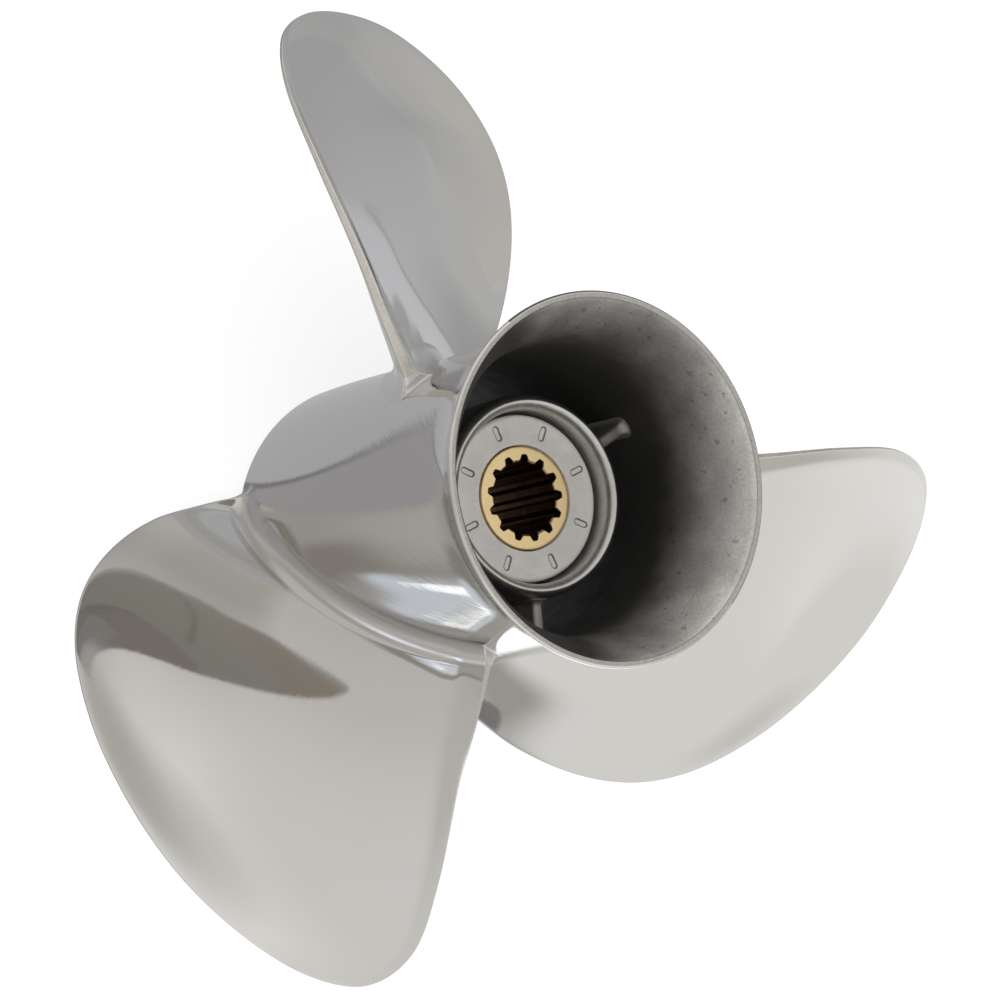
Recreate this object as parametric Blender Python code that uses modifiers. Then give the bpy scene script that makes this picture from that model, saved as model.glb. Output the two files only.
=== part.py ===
"""Three-blade outboard propeller with exhaust through the hub.

The hub stands on its forward end at z = 0 and the shaft axis runs up +Z, aft.
All sizes are in metres and angles in degrees.
"""

import math

import bmesh
import bpy
from mathutils import Matrix, Vector

# Sizes of the whole propeller
PROP_DIAMETER = 0.2892
HUB_LENGTH = 0.134
BLADE_COUNT = 3
FIRST_BLADE_ANGLE = 9.1
GAP = 0.0003

# Hub barrel
FRONT_RADIUS = 0.048
NECK_RADIUS = 0.0435
RIM_RADIUS = 0.050
RIM_BAND = 0.0026
NECK_BELOW_RIM = 0.024
BARREL_WALL = 0.0034
FRONT_ROUND = 0.0012
RIM_CHAMFER = 0.0005
FLARE_POWER = 2.2

# Inner tube, ribs, bushing and sleeve
TUBE_RADIUS = 0.0290
TUBE_WALL = 0.0043
TUBE_BELOW_RIM = 0.0370
TUBE_FRONT_INSET = 0.004
SHOULDER_WIDTH = 0.0057
SHOULDER_LENGTH = 0.008
TUBE_CHAMFER = 0.001
RIB_COUNT = 3
FIRST_RIB_ANGLE = 49.5
RIB_THICKNESS = 0.0034
RIB_ROUND_SHARE = 0.35
RIB_BELOW_TUBE_END = 0.0045
RIB_FRONT = 0.012
BUSHING_EDGE_GAP = 0.0009
BUSHING_BELOW_RIM = 0.0435
BUSHING_ROUND = 0.0014
COLLAR_LENGTH = 0.008
SLEEVE_EDGE_GAP = 0.0004
MARK_COUNT = 8
FIRST_MARK_ANGLE = 12.0
MARK_CIRCLE_RADIUS = 0.01965
MARK_LENGTH = 0.0044
MARK_WIDTH = 0.0019
MARK_DEPTH = 0.0007
SLEEVE_RADIUS = 0.0147
SLEEVE_LENGTH = 0.074
SPLINE_COUNT = 13
FIRST_GROOVE_ANGLE = 13.85
SPLINE_GROOVE_RADIUS = 0.01235
SPLINE_CREST_RADIUS = 0.0104
SPLINE_GROOVE_WIDTH = 0.0019
SPLINE_FLANK_ANGLE = 21.0
SPLINE_OVERCUT = 0.0008
SPLINE_CORNER = 0.0004
SLEEVE_LIP = 0.0005

# Radii that follow from those
TUBE_BORE_RADIUS = TUBE_RADIUS - TUBE_WALL
SHOULDER_RADIUS = TUBE_BORE_RADIUS - SHOULDER_WIDTH
BUSHING_RADIUS = TUBE_BORE_RADIUS - BUSHING_EDGE_GAP
BUSHING_BORE_RADIUS = SLEEVE_RADIUS + SLEEVE_EDGE_GAP

# Blades: the pressure face is z = height + rake + pitch / 360 * angle + cup * angle squared
BLADE_HEIGHT = 0.0645
ROOT_PITCH = 0.358
TIP_PITCH = 0.473
RAKE = 0.0350
RAKE_SAG = -0.0092
CUP = -0.003
LOWEST_POINT = 0.0035
LOWEST_BLEND = 0.005
# The dish in the pressure face: its depth at the root and its change to the tip, then the same
# for its lean towards the trailing edge. It grows in from the hub and fades before the tip.
HOLLOW = (-0.0032, -0.00164)
HOLLOW_LEAN = (-0.00262, 0.0038)
HOLLOW_START = 0.15
HOLLOW_FADE = 0.62
HOLLOW_END = 1.02
# The cup: the strip along the trailing edge that bends up, aft.
EDGE_CUP_SLOPE = 0.05
EDGE_CUP_ROOT_WIDTH = 0.0105
EDGE_CUP_TIP_WIDTH = 0.0045
EDGE_CUP_BEND = 0.0010
HELIX_ANGLE = math.radians(48.0)
BLADE_ROOT_RADIUS = 0.046
BLADE_BURIED = 0.008
ROOT_EDGE_THICKNESS = 0.0039
TIP_EDGE_THICKNESS = 0.0007
ROOT_FULL_THICKNESS = 0.0078
TIP_FULL_THICKNESS = 0.0022
LEADING_THICKNESS = 0.0008
ROOT_FILLET = 0.0080
LEADING_FILLET_LOSS = 0.7
# Outline: place from trailing root (-1) over the tip (0) to leading root (1), angle
BLADE_OUTLINE = [
    (-1.0, 22.5),
    (-0.9, 19.7),
    (-0.8, 17.6),
    (-0.6, 16.5),
    (-0.4, 15.2),
    (-0.2, 11.8),
    (-0.1, 8.9),
    (0.0, 4.8),
    (0.1, -0.4),
    (0.2, -7.8),
    (0.3, -15.7),
    (0.4, -25.4),
    (0.5, -34.9),
    (0.6, -42.0),
    (0.8, -52.6),
    (0.9, -57.5),
    (1.0, -64.5),
]

# Fineness of the round shapes
BARREL_STEPS = 96
TUBE_STEPS = 72
SLEEVE_STEPS = 78
FLARE_STEPS = 7
TAPER_STEPS = 8
ARC_STEPS = 4
BLADE_ROWS = 26
BLADE_COLUMNS = 18
SMALL_ANGLE = 0.3
SHARP_ANGLE = 40.0
MERGE_DISTANCE = 0.00001


def clear_scene():
    for item in list(bpy.data.objects):
        bpy.data.objects.remove(item, do_unlink=True)


def new_collection(name):
    group = bpy.data.collections.new(name)
    bpy.context.scene.collection.children.link(group)
    return group


def new_material(name, colour, metallic, roughness):
    material = bpy.data.materials.new(name)
    material.use_nodes = True
    shader = material.node_tree.nodes["Principled BSDF"]
    shader.inputs["Base Color"].default_value = (*colour, 1.0)
    shader.inputs["Metallic"].default_value = metallic
    shader.inputs["Roughness"].default_value = roughness
    material.diffuse_color = (*colour, 1.0)
    return material


def object_from(bm, name, group, material=None):
    mesh = bpy.data.meshes.new(name)
    bm.to_mesh(mesh)
    bm.free()
    if material:
        mesh.materials.append(material)
    item = bpy.data.objects.new(name, mesh)
    group.objects.link(item)
    return item


def make_cutter(item):
    item.display_type = "WIRE"
    item.hide_render = True
    return item


def arc(centre_r, centre_z, radius, start, end, steps):
    """Points on a circular arc in the profile's plane, from one angle to another."""
    points = []
    for step in range(steps + 1):
        turn = math.radians(start + (end - start) * step / steps)
        points.append((centre_r + radius * math.cos(turn), centre_z + radius * math.sin(turn)))
    return points


def turned(name, profile, steps, group, material=None):
    """Closed profile of (radius, z) points turned about the shaft; it runs down its outer side."""
    bm = bmesh.new()
    verts = [bm.verts.new((radius, 0.0, z)) for radius, z in profile]
    for index, vert in enumerate(verts):
        bm.edges.new((vert, verts[(index + 1) % len(verts)]))
    item = object_from(bm, name, group, material)
    screw = item.modifiers.new("turn", "SCREW")
    screw.axis = "Z"
    screw.angle = math.tau
    screw.steps = steps
    screw.render_steps = steps
    screw.use_merge_vertices = True
    screw.merge_threshold = MERGE_DISTANCE
    screw.use_smooth_shade = True
    return item


def add_boolean(item, cutter, operation):
    modifier = item.modifiers.new(cutter.name, "BOOLEAN")
    modifier.operation = operation
    modifier.solver = "EXACT"
    modifier.object = cutter


def add_block(bm, size, centre, angle, spread=1.0):
    """A box of that size, its end towards the axis wider by the spread, placed and turned about the axis."""
    made = bmesh.ops.create_cube(bm, size=1.0)
    for vert in made["verts"]:
        if vert.co.x < 0.0:
            vert.co.y *= spread
    place = Matrix.Rotation(math.radians(angle), 4, "Z")
    place = place @ Matrix.Translation(centre) @ Matrix.Diagonal((*size, 1.0))
    bmesh.ops.transform(bm, matrix=place, verts=made["verts"])
    return made["verts"]


def barrel_outer(z):
    """Outer radius of the barrel: an easy taper to the neck, then a flare that opens aft."""
    neck = HUB_LENGTH - NECK_BELOW_RIM
    if z > neck:
        opened = (z - neck) / NECK_BELOW_RIM
        return NECK_RADIUS + (RIM_RADIUS - NECK_RADIUS) * opened**FLARE_POWER
    along = z / neck
    return FRONT_RADIUS + (NECK_RADIUS - FRONT_RADIUS) * along * along * (3.0 - 2.0 * along)


def barrel_inner(z):
    """Inner radius: the wall keeps its thickness to the neck and thins to the rim band."""
    neck = HUB_LENGTH - NECK_BELOW_RIM
    opened = max(0.0, (z - neck) / NECK_BELOW_RIM)
    return barrel_outer(z) - BARREL_WALL + (BARREL_WALL - RIM_BAND) * opened


def barrel_heights():
    """Heights of the profile's points between the front end and the rim, from the top down."""
    neck = HUB_LENGTH - NECK_BELOW_RIM
    flare = [HUB_LENGTH - NECK_BELOW_RIM * step / FLARE_STEPS for step in range(1, FLARE_STEPS)]
    taper = [neck * (1.0 - step / TAPER_STEPS) for step in range(TAPER_STEPS)]
    return flare + taper


def make_barrel(group, material):
    heights = barrel_heights()
    bore = RIM_RADIUS - RIM_BAND
    rim = [
        (bore, HUB_LENGTH - RIM_CHAMFER),
        (bore + RIM_CHAMFER, HUB_LENGTH),
        (RIM_RADIUS - RIM_CHAMFER, HUB_LENGTH),
        (RIM_RADIUS, HUB_LENGTH - RIM_CHAMFER),
    ]
    outside = [(barrel_outer(z), z) for z in heights]
    front = arc(FRONT_RADIUS - FRONT_ROUND, FRONT_ROUND, FRONT_ROUND, 0.0, -90.0, ARC_STEPS)
    inside = [(barrel_inner(z), z) for z in reversed(heights)]
    profile = rim + outside + front + [(barrel_inner(0.0), 0.0)] + inside
    return turned("hub_barrel", profile, BARREL_STEPS, group, material)


def blade_trim(group):
    """All that lies inside the barrel's outer face, grown by the gap, to cut the blade roots."""
    outside = [(barrel_outer(z) + GAP, z) for z in barrel_heights()]
    above = [(TUBE_RADIUS, HUB_LENGTH), (RIM_RADIUS + GAP, HUB_LENGTH)]
    below = [(FRONT_RADIUS + GAP, 0.0), (FRONT_RADIUS + GAP, -BLADE_BURIED)]
    profile = above + outside + below + [(TUBE_RADIUS, -BLADE_BURIED)]
    return make_cutter(turned("blade_trim", profile, BARREL_STEPS, group))


def make_tube(group, material):
    """The tube, its aft end rounded over, with a shoulder inside its front end."""
    top = HUB_LENGTH - TUBE_BELOW_RIM
    rounded = TUBE_WALL / 2
    end = arc(TUBE_RADIUS - rounded, top - rounded, rounded, 180.0, 0.0, 2 * ARC_STEPS)
    shoulder_top = TUBE_FRONT_INSET + SHOULDER_LENGTH
    outside = [
        (TUBE_RADIUS, TUBE_FRONT_INSET + TUBE_CHAMFER),
        (TUBE_RADIUS - TUBE_CHAMFER, TUBE_FRONT_INSET),
    ]
    inside = [
        (SHOULDER_RADIUS + TUBE_CHAMFER, TUBE_FRONT_INSET),
        (SHOULDER_RADIUS, TUBE_FRONT_INSET + TUBE_CHAMFER),
        (SHOULDER_RADIUS, shoulder_top),
        (TUBE_BORE_RADIUS, shoulder_top),
    ]
    return turned("inner_hub_tube", end + outside + inside, TUBE_STEPS, group, material)


def rib_space(group):
    """The exhaust space between tube and barrel, less the gap, to shape the ribs' ends."""
    top = HUB_LENGTH - TUBE_BELOW_RIM - RIB_BELOW_TUBE_END
    length = top - RIB_FRONT
    heights = [top - length * step / TAPER_STEPS for step in range(TAPER_STEPS + 1)]
    outside = [(barrel_inner(z) - GAP, z) for z in heights]
    inside = [(TUBE_RADIUS + GAP, RIB_FRONT), (TUBE_RADIUS + GAP, top)]
    return make_cutter(turned("rib_space", outside + inside, BARREL_STEPS, group))


def make_rib(number, space, group, material):
    """A straight radial web with a rounded aft edge."""
    top = HUB_LENGTH - TUBE_BELOW_RIM - RIB_BELOW_TUBE_END
    reach = FRONT_RADIUS - TUBE_BORE_RADIUS
    size = (reach, RIB_THICKNESS, 2 * (top - RIB_FRONT))
    centre = (TUBE_BORE_RADIUS + reach / 2, 0.0, RIB_FRONT)
    angle = FIRST_RIB_ANGLE + number * 360.0 / RIB_COUNT
    bm = bmesh.new()
    add_block(bm, size, centre, angle)
    item = object_from(bm, f"rib_{number + 1}", group, material)
    round_over = item.modifiers.new("round_over", "BEVEL")
    round_over.width = RIB_THICKNESS * RIB_ROUND_SHARE
    round_over.segments = ARC_STEPS
    add_boolean(item, space, "INTERSECT")
    return item


def bushing_marks(group):
    """Pill shapes standing in the bushing's aft face."""
    top = HUB_LENGTH - BUSHING_BELOW_RIM
    bm = bmesh.new()
    for number in range(MARK_COUNT):
        angle = FIRST_MARK_ANGLE + number * 360.0 / MARK_COUNT
        size = (MARK_LENGTH, MARK_WIDTH, 2 * MARK_DEPTH)
        verts = add_block(bm, size, (MARK_CIRCLE_RADIUS, 0.0, top), angle)
        upright = [
            edge
            for edge in {edge for vert in verts for edge in vert.link_edges}
            if abs(edge.verts[0].co.z - edge.verts[1].co.z) > MARK_DEPTH
        ]
        bmesh.ops.bevel(
            bm, geom=upright, offset=MARK_WIDTH / 2 - GAP, segments=ARC_STEPS, affect="EDGES", profile=0.5
        )
    return make_cutter(object_from(bm, "bushing_marks", group))


def make_bushing(marks, group, material):
    top = HUB_LENGTH - BUSHING_BELOW_RIM
    bottom = TUBE_FRONT_INSET + SHOULDER_LENGTH + GAP
    body = TUBE_BORE_RADIUS - GAP
    bore = SLEEVE_RADIUS + GAP
    collar = top - COLLAR_LENGTH
    edge = arc(BUSHING_RADIUS - BUSHING_ROUND, top - BUSHING_ROUND, BUSHING_ROUND, 90.0, 0.0, ARC_STEPS)
    outside = [(BUSHING_RADIUS, collar), (body, collar - BUSHING_EDGE_GAP), (body, bottom)]
    inside = [(bore, bottom), (bore, collar), (BUSHING_BORE_RADIUS, collar + SLEEVE_EDGE_GAP)]
    profile = edge + outside + inside + [(BUSHING_BORE_RADIUS, top)]
    item = turned("bushing", profile, TUBE_STEPS, group, material)
    add_boolean(item, marks, "DIFFERENCE")
    return item


def spline_grooves(group):
    """A bar with sloped flanks for each groove of the spline, its outer corners rounded."""
    middle = HUB_LENGTH - BUSHING_BELOW_RIM - SLEEVE_LENGTH / 2
    depth = SPLINE_GROOVE_RADIUS - SPLINE_CREST_RADIUS + SPLINE_OVERCUT
    widening = 2 * depth * math.tan(math.radians(SPLINE_FLANK_ANGLE))
    spread = 1.0 + widening / SPLINE_GROOVE_WIDTH
    bm = bmesh.new()
    for number in range(SPLINE_COUNT):
        size = (depth, SPLINE_GROOVE_WIDTH, SLEEVE_LENGTH * 2)
        centre = (SPLINE_GROOVE_RADIUS - depth / 2, 0.0, middle)
        angle = FIRST_GROOVE_ANGLE + number * 360.0 / SPLINE_COUNT
        add_block(bm, size, centre, angle, spread)
    item = object_from(bm, "spline_grooves", group)
    corners = item.modifiers.new("corners", "BEVEL")
    corners.width = SPLINE_CORNER
    corners.segments = 2
    return make_cutter(item)


def make_sleeve(grooves, group, material):
    top = HUB_LENGTH - BUSHING_BELOW_RIM
    bottom = top - SLEEVE_LENGTH
    profile = [
        (SPLINE_CREST_RADIUS, top - SLEEVE_LIP),
        (SPLINE_CREST_RADIUS + SLEEVE_LIP, top),
        (SLEEVE_RADIUS - SLEEVE_LIP, top),
        (SLEEVE_RADIUS, top - SLEEVE_LIP),
        (SLEEVE_RADIUS, bottom),
        (SPLINE_CREST_RADIUS, bottom),
    ]
    item = turned("spline_sleeve", profile, SLEEVE_STEPS, group, material)
    add_boolean(item, grooves, "DIFFERENCE")
    return item


def outline_angle(place):
    """Angle of the blade's edge at a place on its outline, a smooth curve through the points."""
    last = len(BLADE_OUTLINE) - 1
    place = min(max(place, -1.0), 1.0)
    index = 0
    while index < last - 1 and BLADE_OUTLINE[index + 1][0] < place:
        index += 1
    before = BLADE_OUTLINE[max(index - 1, 0)]
    start = BLADE_OUTLINE[index]
    end = BLADE_OUTLINE[index + 1]
    after = BLADE_OUTLINE[min(index + 2, last)]
    span = end[0] - start[0]
    leave = (end[1] - before[1]) / (end[0] - before[0]) * span
    arrive = (after[1] - start[1]) / (after[0] - start[0]) * span
    t = (place - start[0]) / span
    between = start[1] * (1 + 2 * t) * (1 - t) ** 2 + end[1] * t * t * (3 - 2 * t)
    return between + leave * t * (1 - t) ** 2 - arrive * t * t * (1 - t)


def blade_hollow(radius, angle):
    """How far the dish and the bent-up edge move the pressure face: aft is positive."""
    tip = PROP_DIAMETER / 2
    place = math.sqrt(max(tip - radius, 0.0) / (tip - BLADE_ROOT_RADIUS))
    trailing = outline_angle(-min(place, 1.0))
    leading = outline_angle(min(place, 1.0))
    if trailing - leading < SMALL_ANGLE:
        return 0.0, 0.0
    out = max(1.0 - place**2, 0.0)
    across = min(max((trailing - angle) / (trailing - leading), 0.0), 1.0)
    faded = min(max((out - HOLLOW_FADE) / (HOLLOW_END - HOLLOW_FADE), 0.0), 1.0)
    share = 1.0 - math.exp(-((out / HOLLOW_START) ** 2)) - faded * faded * (3.0 - 2.0 * faded)
    lean = (1.0 - 2.0 * across) * (HOLLOW_LEAN[0] + HOLLOW_LEAN[1] * out)
    arch = (4.0 * across * (1.0 - across)) ** 1.5
    dish = share * arch * (HOLLOW[0] + HOLLOW[1] * out + lean)
    inside = across * math.radians(trailing - leading) * radius / math.cos(HELIX_ANGLE)
    left = EDGE_CUP_ROOT_WIDTH + (EDGE_CUP_TIP_WIDTH - EDGE_CUP_ROOT_WIDTH) * out - inside
    cup = EDGE_CUP_SLOPE * (1.0 - out**8) * (left + math.hypot(left, EDGE_CUP_BEND)) / 2
    return dish, cup


def blade_point(radius, angle):
    """Point on the pressure face, before the blade is turned to its own place on the hub.

    Near its lowest point the face levels out, so that it stays above the hub's front end.
    """
    out = (radius - BLADE_ROOT_RADIUS) / (PROP_DIAMETER / 2 - BLADE_ROOT_RADIUS)
    pitch = ROOT_PITCH + (TIP_PITCH - ROOT_PITCH) * out
    turn = math.radians(angle)
    z = BLADE_HEIGHT + RAKE * out + RAKE_SAG * out * out
    z += pitch / math.tau * turn + CUP * turn * turn
    dish, cup = blade_hollow(radius, angle)
    above = z + dish - LOWEST_POINT
    z = LOWEST_POINT + (above + math.hypot(above, LOWEST_BLEND)) / 2 + cup
    return Vector((radius * math.cos(turn), radius * math.sin(turn), z))


def blade_normal(radius, angle):
    """Unit vector out of the pressure face, facing aft."""
    outward = blade_point(radius + GAP, angle) - blade_point(radius - GAP, angle)
    around = blade_point(radius, angle + SMALL_ANGLE) - blade_point(radius, angle - SMALL_ANGLE)
    return outward.cross(around).normalized()


def blade_thickness(out, across):
    """Thickness at a share of the span (out) and of the chord from the trailing edge (across).

    It is fullest a third of the way from the cut trailing edge to the thin leading edge.
    """
    edge = ROOT_EDGE_THICKNESS + (TIP_EDGE_THICKNESS - ROOT_EDGE_THICKNESS) * out
    fullest = ROOT_FULL_THICKNESS + (TIP_FULL_THICKNESS - ROOT_FULL_THICKNESS) * out
    straight = edge + (LEADING_THICKNESS - edge) * across
    crown = fullest - (edge * 2 + LEADING_THICKNESS) / 3
    return straight + crown * 6.75 * across * (1.0 - across) ** 2


def root_fillet(point, across):
    """How far a face swells beside the hub, less towards the leading edge."""
    height = math.hypot(point.x, point.y) - barrel_outer(min(point.z, HUB_LENGTH))
    below = ROOT_FILLET - min(max(height, 0.0), ROOT_FILLET)
    swell = ROOT_FILLET - math.sqrt(ROOT_FILLET**2 - below**2)
    return swell * (1.0 - LEADING_FILLET_LOSS * across)


def blade_row(place):
    """One ring of points round the blade: across the pressure face and back on the suction face."""
    tip = PROP_DIAMETER / 2
    radius = tip - (tip - BLADE_ROOT_RADIUS) * place**2
    out = 1.0 - min(place, 1.0) ** 2
    trailing = outline_angle(-place)
    leading = outline_angle(place)
    pressure = []
    suction = []
    for column in range(BLADE_COLUMNS + 1):
        across = 0.5 - 0.5 * math.cos(math.pi * column / BLADE_COLUMNS)
        angle = trailing + (leading - trailing) * across
        point = blade_point(radius, angle)
        normal = blade_normal(radius, angle)
        swell = root_fillet(point, across)
        pressure.append(point + normal * swell)
        suction.append(point - normal * (blade_thickness(out, across) + swell))
    return pressure + suction[::-1]


def make_blade(number, trim, group, material):
    """A loft of rings from inside the hub to the tip, closed at both ends, cut off at the hub."""
    tip = PROP_DIAMETER / 2
    buried = math.sqrt((tip - BLADE_ROOT_RADIUS + BLADE_BURIED) / (tip - BLADE_ROOT_RADIUS))
    bm = bmesh.new()
    near_tip = 1.0 / BLADE_ROWS
    rings = []
    for row in range(BLADE_ROWS + 1):
        place = buried + (near_tip - buried) * row / BLADE_ROWS
        rings.append([bm.verts.new(point) for point in blade_row(place)])
    count = len(rings[0])
    for lower, upper in zip(rings, rings[1:]):
        for i in range(count):
            j = (i + 1) % count
            bm.faces.new((lower[i], upper[i], upper[j], lower[j]))
    root, end = rings[0], rings[-1]
    for i in range(BLADE_COLUMNS):
        facing = count - 1 - i
        bm.faces.new((root[i], root[i + 1], root[facing - 1], root[facing]))
        bm.faces.new((end[i], end[facing], end[facing - 1], end[i + 1]))
    angle = math.radians(FIRST_BLADE_ANGLE + number * 360.0 / BLADE_COUNT)
    bm.transform(Matrix.Rotation(angle, 4, "Z"))
    bmesh.ops.recalc_face_normals(bm, faces=bm.faces)
    item = object_from(bm, f"blade_{number + 1}", group, material)
    item.data.shade_smooth()
    item.data.set_sharp_from_angle(angle=math.radians(SHARP_ANGLE))
    add_boolean(item, trim, "DIFFERENCE")
    return item


def build():
    clear_scene()
    propeller = new_collection("boat_propeller")
    cutters = new_collection("cutters")
    barrel_steel = new_material("barrel_steel", (0.62, 0.61, 0.60), 1.0, 0.10)
    blade_steel = new_material("blade_steel", (0.66, 0.66, 0.65), 1.0, 0.08)
    rib_steel = new_material("rib_steel", (0.40, 0.39, 0.38), 1.0, 0.45)
    tube_steel = new_material("tube_steel", (0.48, 0.47, 0.46), 1.0, 0.35)
    bushing_resin = new_material("bushing_resin", (0.52, 0.51, 0.50), 0.0, 0.50)
    sleeve_brass = new_material("sleeve_brass", (0.68, 0.52, 0.25), 1.0, 0.30)

    make_barrel(propeller, barrel_steel)
    make_tube(propeller, tube_steel)
    space = rib_space(cutters)
    for number in range(RIB_COUNT):
        make_rib(number, space, propeller, rib_steel)
    make_bushing(bushing_marks(cutters), propeller, bushing_resin)
    make_sleeve(spline_grooves(cutters), propeller, sleeve_brass)
    trim = blade_trim(cutters)
    for number in range(BLADE_COUNT):
        make_blade(number, trim, propeller, blade_steel)


build()
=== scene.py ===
import math

import bpy
import numpy as np
from mathutils import Matrix


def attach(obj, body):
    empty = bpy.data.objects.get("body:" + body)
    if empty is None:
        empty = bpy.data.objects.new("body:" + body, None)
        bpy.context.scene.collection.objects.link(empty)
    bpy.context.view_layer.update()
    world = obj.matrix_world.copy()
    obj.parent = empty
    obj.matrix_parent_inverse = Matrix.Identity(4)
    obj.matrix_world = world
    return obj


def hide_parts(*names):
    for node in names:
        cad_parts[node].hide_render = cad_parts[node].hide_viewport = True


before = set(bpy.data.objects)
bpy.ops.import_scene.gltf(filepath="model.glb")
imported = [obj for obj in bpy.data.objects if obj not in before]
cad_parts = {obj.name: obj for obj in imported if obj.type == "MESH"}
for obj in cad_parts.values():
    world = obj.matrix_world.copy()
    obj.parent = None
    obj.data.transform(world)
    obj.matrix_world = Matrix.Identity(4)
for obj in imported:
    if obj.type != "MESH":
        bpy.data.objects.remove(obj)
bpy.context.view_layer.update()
print("solid model loaded:", len(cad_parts), "nodes")

cornerBow = 0.3  # a small bevel's middle point stands this share of its size off both faces, as on a rounded corner


def hermite(xs, ys, at):
    # smooth curve through the points: cubic between neighbours, slope = (next - last) / (their spacing)
    xs, ys = np.asarray(xs, float), np.asarray(ys, float)
    slopes = np.gradient(ys, xs)
    slopes[1:-1] = (ys[2:] - ys[:-2]) / (xs[2:] - xs[:-2])
    i = np.clip(np.searchsorted(xs, at, side="right") - 1, 0, len(xs) - 2)
    span = xs[i + 1] - xs[i]
    t = (at - xs[i]) / span
    mix = ys[i] * (1 + 2 * t) * (1 - t) ** 2 + ys[i + 1] * t * t * (3 - 2 * t)
    return mix + span * (slopes[i] * t * (1 - t) ** 2 - slopes[i + 1] * t * t * (1 - t))


def smooth(t):
    t = np.clip(t, 0.0, 1.0)
    return t * t * (3 - 2 * t)


def arcPoints(centreR, centreZ, radius, start, end, steps):
    # points on a circle in the (radius, height) plane between two angles in degrees
    turn = np.radians(np.linspace(start, end, steps + 1))
    return np.stack([centreR + radius * np.cos(turn), centreZ + radius * np.sin(turn)], axis=1)


def gridFaces(rows, columns, wrapRows):
    # quads between neighbouring rows; the columns always close into a ring
    index = np.arange(rows * columns).reshape(rows, columns)
    upper = np.roll(index, -1, axis=0) if wrapRows else index[1:]
    lower = index if wrapRows else index[:-1]
    quads = np.stack([lower, np.roll(lower, -1, 1), np.roll(upper, -1, 1), upper], axis=-1)
    return quads.reshape(-1, 4).tolist()


def shellFaces(rows, columns):
    # a skin of rings, closed at both end rings, where point j is joined to point columns - j
    faces = gridFaces(rows, columns, False)
    j = np.arange(1, columns // 2 - 1)
    for first, order in ((0, -1), ((rows - 1) * columns, 1)):
        middle, last = first + columns // 2, first + columns
        rungs = np.stack([first + j, first + j + 1, last - j - 1, last - j], axis=-1)
        closing = rungs.tolist() + [[first, first + 1, last - 1], [middle, middle + 1, middle - 1]]
        faces += [corners[::order] for corners in closing]
    return faces


def enclosed(points, faces):
    # volume in a closed skin: the sum of a . (b x c) / 6 over its triangles; it is negative when inside out
    total = 0.0
    for corners in (3, 4):
        group = np.array([f for f in faces if len(f) == corners], int).reshape(-1, corners)
        for k in range(1, corners - 1):
            a, b, c = (points[group[:, j]] for j in (0, k, k + 1))
            total += np.einsum("ij,ij->", a, np.cross(b, c)) / 6
    return total


def addObject(name, data):
    made = bpy.data.objects.new(name, data)
    bpy.context.scene.collection.objects.link(made)
    return made


def makePiece(name, points, faces, materials, faceMaterial=None, sharpAngle=35.0):
    points = points.reshape(-1, 3)
    if enclosed(points, faces) < 0:
        faces = [f[::-1] for f in faces]
    mesh = bpy.data.meshes.new(name)
    mesh.from_pydata(points.tolist(), [], faces)
    for material in materials:
        mesh.materials.append(material)
    if faceMaterial is not None:
        mesh.polygons.foreach_set("material_index", np.asarray(faceMaterial, np.int32))
    mesh.validate()
    mesh.shade_smooth()
    mesh.set_sharp_from_angle(angle=math.radians(sharpAngle))
    return addObject(name, mesh)


def turnProfile(name, profile, around, materials, faceMaterial=None):
    # closed (radius, height) profile turned about Z: x = r cos a, y = r sin a
    angles = np.linspace(0, 2 * np.pi, around, endpoint=False)
    radius, height = (profile[:, i][:, None] * np.ones(around) for i in (0, 1))
    points = np.stack([radius * np.cos(angles), radius * np.sin(angles), height], axis=-1)
    return makePiece(name, points, gridFaces(len(profile), around, True), materials, faceMaterial)


# the hub's measures come before the finishes, because the blades' polish follows the barrel's taper
hub = {
    "length": 0.134, "front": 0.048, "neck": 0.0435, "rim": 0.050, "neckBelowRim": 0.024, "flarePower": 2.2,
    "wall": 0.0034, "rimBand": 0.0019, "rimChamfer": 0.0003, "rimRound": 0.0007, "rimUnder": -30.0,
    "rimFoot": 0.0016, "frontRound": 0.0012, "frontStart": -8.0, "roundSteps": 8,
    "rimShadeFrom": 215.0, "rimShadeTo": 25.0,  # azimuths between which the rim's rounded edge is painted dark as shade
    "flareRows": 44, "taperRows": 60, "around": 288,
}
neckHeight = hub["length"] - hub["neckBelowRim"]


def flareShare(z):
    return np.clip((z - neckHeight) / hub["neckBelowRim"], 0.0, 1.0)


def hubRadius(z):
    # a smoothstep taper from the front to the neck, and (rim - neck) * flare share ** power on top of it
    taper = hub["front"] + (hub["neck"] - hub["front"]) * smooth(z / neckHeight)
    return taper + (hub["rim"] - hub["neck"]) * flareShare(z) ** hub["flarePower"]


def hubInside(z):
    # the wall keeps its thickness to the neck and thins to the rim's band
    return hubRadius(z) - hub["wall"] + (hub["wall"] - hub["rimBand"]) * flareShare(z)


# helpers for the finishes' nodes

noiseSpan = (0.3, 0.7)  # most of a noise texture's values lie between these
unrollRadius = 0.045  # about the barrel's, so that a pattern unrolled round the shaft keeps its size


def newFinish(name):
    material = bpy.data.materials.new(name)
    material.use_nodes = True
    tree = material.node_tree
    return material, tree, tree.nodes["Principled BSDF"]


def node(tree, kind, **values):
    # each value is another node's output to link, a property of the node, or what one of its inputs is set to
    made = tree.nodes.new(kind)
    for key, value in values.items():
        if isinstance(value, bpy.types.NodeSocket):
            tree.links.new(value, made.inputs[key])
        elif hasattr(made, key):
            setattr(made, key, value)
        else:
            made.inputs[key].default_value = value
    return made


def objectPlace(tree):
    return node(tree, "ShaderNodeTexCoord").outputs["Object"]


def splitPlace(tree):
    split = node(tree, "ShaderNodeSeparateXYZ", Vector=objectPlace(tree)).outputs
    return split["X"], split["Y"], split["Z"]


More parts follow.
